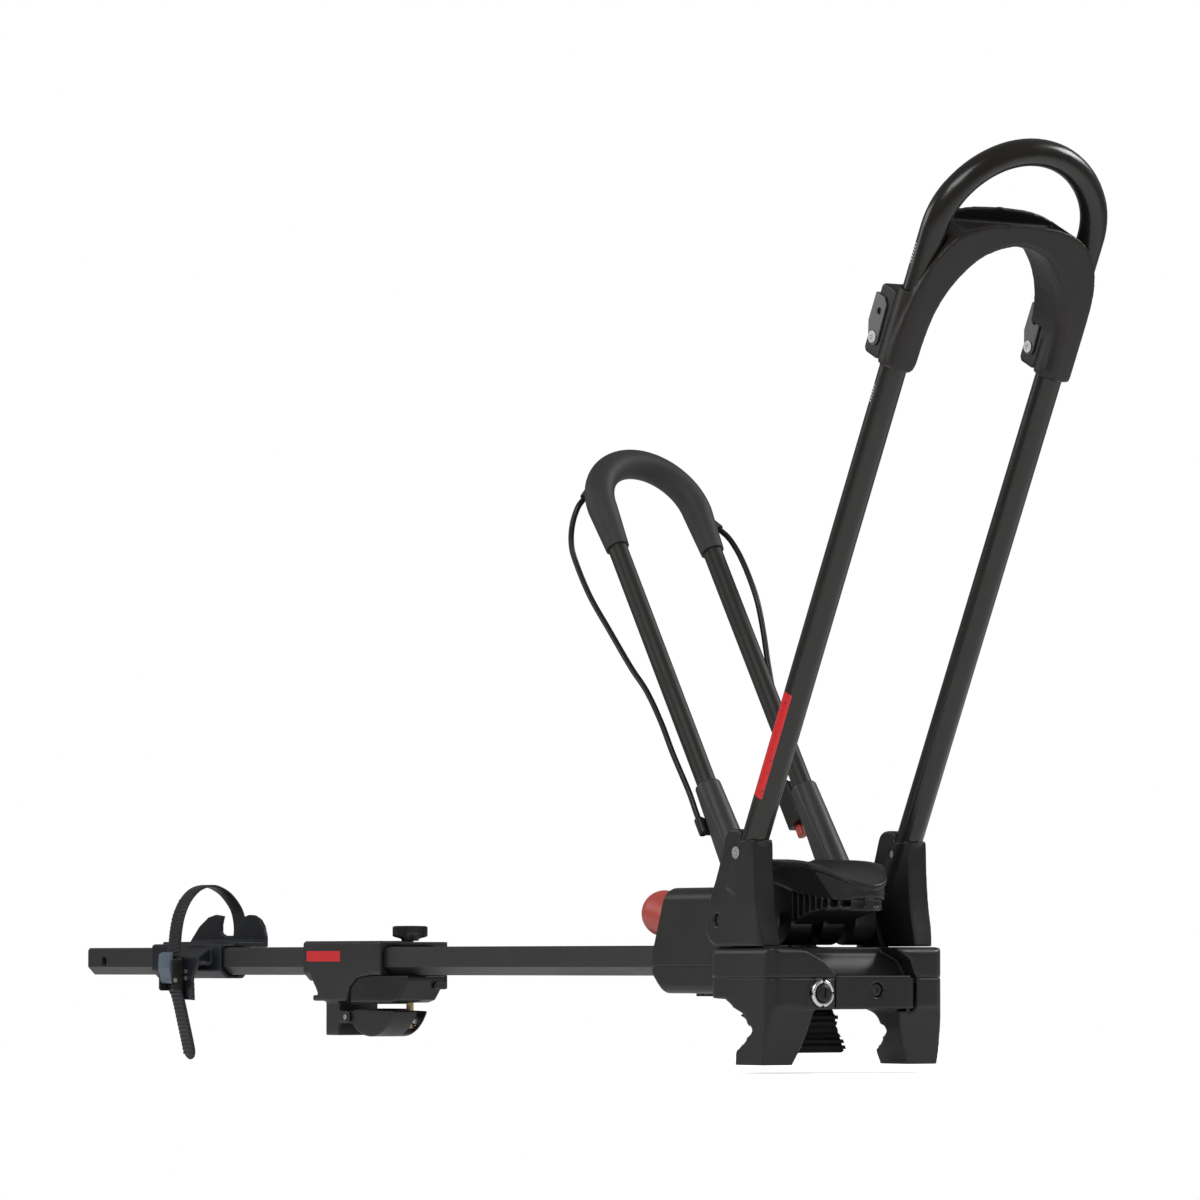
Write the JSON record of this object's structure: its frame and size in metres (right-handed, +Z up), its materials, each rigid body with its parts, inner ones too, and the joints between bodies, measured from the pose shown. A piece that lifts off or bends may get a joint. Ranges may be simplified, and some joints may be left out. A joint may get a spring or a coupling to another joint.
{
  "type": "roof mounted bike carrier",
  "caption": "Roof bike carrier: two hoops hold the front wheel over a clamp base, and a square rail carries a rear clamp and a strap tray.",
  "frame": {"origin": "middle of the front crossbar's axis, centred across the base", "axes": "+X to the front of the car, +Y to the carrier's left side along the crossbar, +Z up"},
  "size_m": [1.7906, 0.2244, 0.9037],
  "materials": {
    "hoop_tube": "gloss black coating on drawn tube",
    "rail_tube": "satin black coating on an extruded square tube",
    "dark_moulding": "dark grey glass-filled nylon, fine grain",
    "black_moulding": "black, smooth",
    "grey_sleeve": "dark grey, satin",
    "foam_pad": "soft grey-black grip",
    "clamp_rubber": "black rubber",
    "cable_cover": "black cover over a steel cable",
    "red_plastic": "muted red, satin",
    "zinc_steel": "zinc-plated steel",
    "bright_steel": "bright plated",
    "brass_bolt": "yellow zinc-plated bolt",
    "gear_metal": "sintered bronze",
    "latch_plate": "mid-grey painted steel",
    "strap_rubber": "black moulded ladder strap",
    "buckle_blue": "blue-grey nylon"
  },
  "bodies": {
    "carrier": {"rail": "rail_tube", "rail_end_cap": "black_moulding", "rail_bolts": "zinc_steel", "base_body": "dark_moulding", "base_cover": "dark_moulding", "base_screws": "zinc_steel", "drive_cover": "dark_moulding", "claw_pads": "clamp_rubber", "hinge_axle": "zinc_steel", "axle_washers": "black_moulding", "worm_bearings": "gear_metal", "lock_ring": "bright_steel", "lever_pin": "zinc_steel", "jaw_pin": "zinc_steel"},
    "tall_hoop": {"tall_hoop_tube": "hoop_tube", "right_leg_bracket": "dark_moulding", "left_leg_bracket": "dark_moulding", "leg_pins": "zinc_steel"},
    "saddle": {"tyre_saddle": "black_moulding", "latch_blocks": "black_moulding", "latch_pins": "bright_steel"},
    "right_latch": {"right_latch_lever": "latch_plate"},
    "left_latch": {"left_latch_lever": "latch_plate"},
    "short_hoop": {"short_hoop_tube": "hoop_tube", "short_hoop_pad": "foam_pad", "right_hoop_leg": "grey_sleeve", "left_hoop_leg": "grey_sleeve", "wheel_cradle": "dark_moulding", "sector_gear": "gear_metal", "cradle_bolts": "zinc_steel", "security_cable": "cable_cover", "cable_clip": "black_moulding", "cable_lock": "black_moulding"},
    "lock_button": {"cable_lock_button": "red_plastic"},
    "knob": {"adjusting_knob": "red_plastic", "worm_shaft": "zinc_steel", "worm": "gear_metal"},
    "lever": {"clamp_lever": "dark_moulding", "lever_screw": "zinc_steel"},
    "rod": {"push_rod": "zinc_steel"},
    "front_jaw": {"rear_jaw": "dark_moulding", "jaw_pad": "clamp_rubber"},
    "lock": {"lock_core": "black_moulding", "lock_cam": "zinc_steel"},
    "rear_clamp": {"rear_clamp_body": "dark_moulding", "rear_clamp_block": "black_moulding", "rear_clamp_pad": "clamp_rubber", "lower_jaw_pin": "zinc_steel"},
    "boat_jaw": {"lower_jaw": "dark_moulding", "lower_jaw_pad": "clamp_rubber", "clamp_nut": "zinc_steel"},
    "wing": {"wing_knob": "black_moulding", "clamp_bolt": "brass_bolt"},
    "tray": {"wheel_tray": "dark_moulding", "ladder_strap": "strap_rubber", "buckle_base": "dark_moulding", "buckle_screws": "zinc_steel", "buckle_pin": "zinc_steel"},
    "buckle": {"buckle_lever": "buckle_blue"}
  },
  "joints": [
    {"name": "tall_hoop_fold", "type": "hinge", "parent": "carrier", "child": "tall_hoop", "pos_m": [-0.0375, 0, 0.11], "axis": [0, 1, 0], "range_deg": [-110, 0]},
    {"name": "saddle_slide", "type": "slide", "parent": "tall_hoop", "child": "saddle", "axis": [0.4524, 0, 0.8918], "range_m": [-0.09, 0]},
    {"name": "right_latch_tilt", "type": "hinge", "parent": "saddle", "child": "right_latch", "pos_m": [0.22549, -0.0955, 0.67292], "axis": [0, -1, 0], "range_deg": [0, 12], "stiffness_Nm_per_rad": 0.5, "springref_deg": -5.73},
    {"name": "left_latch_tilt", "type": "hinge", "parent": "saddle", "child": "left_latch", "pos_m": [0.22549, 0.0955, 0.67292], "axis": [0, -1, 0], "range_deg": [0, 12], "stiffness_Nm_per_rad": 0.5, "springref_deg": -5.73},
    {"name": "short_hoop_tilt", "type": "hinge", "parent": "carrier", "child": "short_hoop", "pos_m": [-0.0375, 0, 0.11], "axis": [0, 1, 0], "range_deg": [-50, 15]},
    {"name": "knob_turn", "type": "hinge", "parent": "carrier", "child": "knob", "pos_m": [-0.04634, 0, 0.06843], "axis": [0.9781, 0, -0.2079], "range_deg": [-1300, 390]},
    {"name": "cable_button_press", "type": "slide", "parent": "short_hoop", "child": "lock_button", "axis": [-0.5417, 0, 0.8406], "range_m": [0, 0.004], "stiffness_N_per_m": 300, "springref_m": -0.002},
    {"name": "clamp_lever_turn", "type": "hinge", "parent": "carrier", "child": "lever", "pos_m": [0.0495, 0.0645, 0.038], "axis": [0, 0, 1], "range_deg": [0, 100]},
    {"name": "push_rod_slide", "type": "slide", "parent": "carrier", "child": "rod", "axis": [1, 0, 0], "range_m": [0, 0.0069]},
    {"name": "front_jaw_swing", "type": "hinge", "parent": "carrier", "child": "front_jaw", "pos_m": [-0.03, 0, 0.0305], "axis": [0, 1, 0], "range_deg": [0, 25.5]},
    {"name": "lock_turn", "type": "hinge", "parent": "carrier", "child": "lock", "pos_m": [0.051, -0.0465, 0.037], "axis": [1, 0, 0], "range_deg": [-90, 0]},
    {"name": "rear_clamp_slide", "type": "slide", "parent": "carrier", "child": "rear_clamp", "axis": [1, 0, 0], "range_m": [-0.05, 0.35]},
    {"name": "boat_jaw_swing", "type": "hinge", "parent": "rear_clamp", "child": "boat_jaw", "pos_m": [-0.86526, 0, 0.008], "axis": [0, 1, 0], "range_deg": [0, 5]},
    {"name": "wing_knob_turn", "type": "hinge", "parent": "rear_clamp", "child": "wing", "pos_m": [-0.79811, 0.022, 0.092], "axis": [0, 0, 1], "range_deg": [0, 1056]},
    {"name": "tray_slide", "type": "slide", "parent": "carrier", "child": "tray", "axis": [1, 0, 0], "range_m": [-0.1, 0.1]},
    {"name": "buckle_lever_lift", "type": "hinge", "parent": "tray", "child": "buckle", "pos_m": [-1.1945, -0.048, 0.048], "axis": [1, 0, 0], "range_deg": [0, 70], "stiffness_Nm_per_rad": 0.02, "springref_deg": -17.19}
  ],
  "couplings": [
    {"joint": "knob_turn", "follows": "short_hoop_tilt", "ratio": 26},
    {"joint": "push_rod_slide", "follows": "clamp_lever_turn", "m_per_rad": 0.0038961},
    {"joint": "front_jaw_swing", "follows": "clamp_lever_turn", "ratio": 0.25},
    {"joint": "wing_knob_turn", "follows": "boat_jaw_swing", "ratio": 211}
  ]
}
